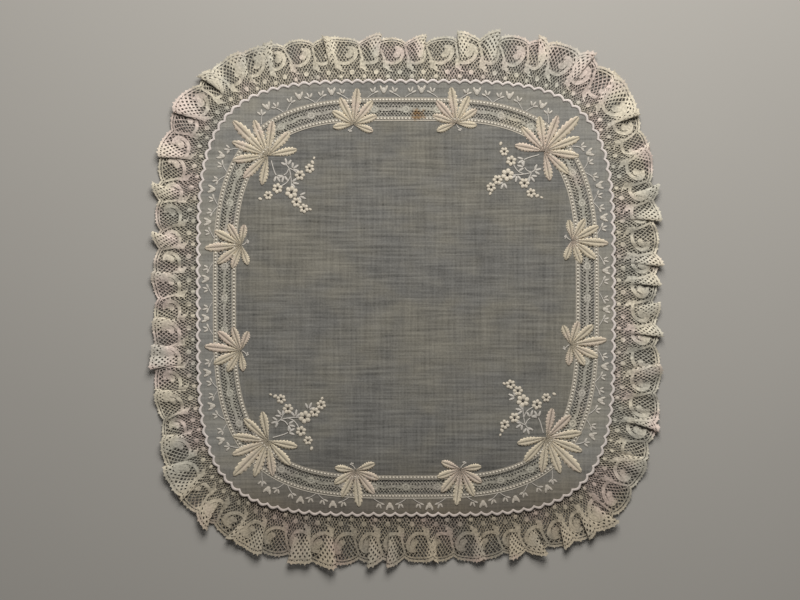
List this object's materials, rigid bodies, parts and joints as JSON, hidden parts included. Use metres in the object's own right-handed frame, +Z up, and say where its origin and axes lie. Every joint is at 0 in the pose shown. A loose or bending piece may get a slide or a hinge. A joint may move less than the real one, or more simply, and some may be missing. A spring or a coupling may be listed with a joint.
{
  "type": "lace-trimmed handkerchief",
  "caption": "Square sheer linen handkerchief with round corners, a scalloped edge, a gathered lace frill, a ring of lace insertion and applied leaves, laid out flat.",
  "frame": {"origin": "on the underside, below the middle of the linen panel", "axes": "+Z up from the surface that the cloth lies on, +Y towards the top of the picture, +X towards its right"},
  "size_m": [0.2898, 0.3036, 0.0064],
  "materials": {
    "linen": "matte",
    "lace": "matte",
    "veining": "matte",
    "leaf": "satin"
  },
  "bodies": {
    "root": {"centre_panel": "linen", "inner_veining": "veining", "lace_insertion": "lace", "outer_veining": "veining", "scalloped_border": "linen", "lace_frill": "lace", "corner_leaf_1": "leaf", "corner_leaf_2": "leaf", "corner_leaf_3": "leaf", "corner_leaf_4": "leaf", "side_leaf_1": "leaf", "side_leaf_2": "leaf", "side_leaf_3": "leaf", "side_leaf_4": "leaf", "side_leaf_5": "leaf", "side_leaf_6": "leaf", "side_leaf_7": "leaf", "side_leaf_8": "leaf"}
  },
  "joints": []
}
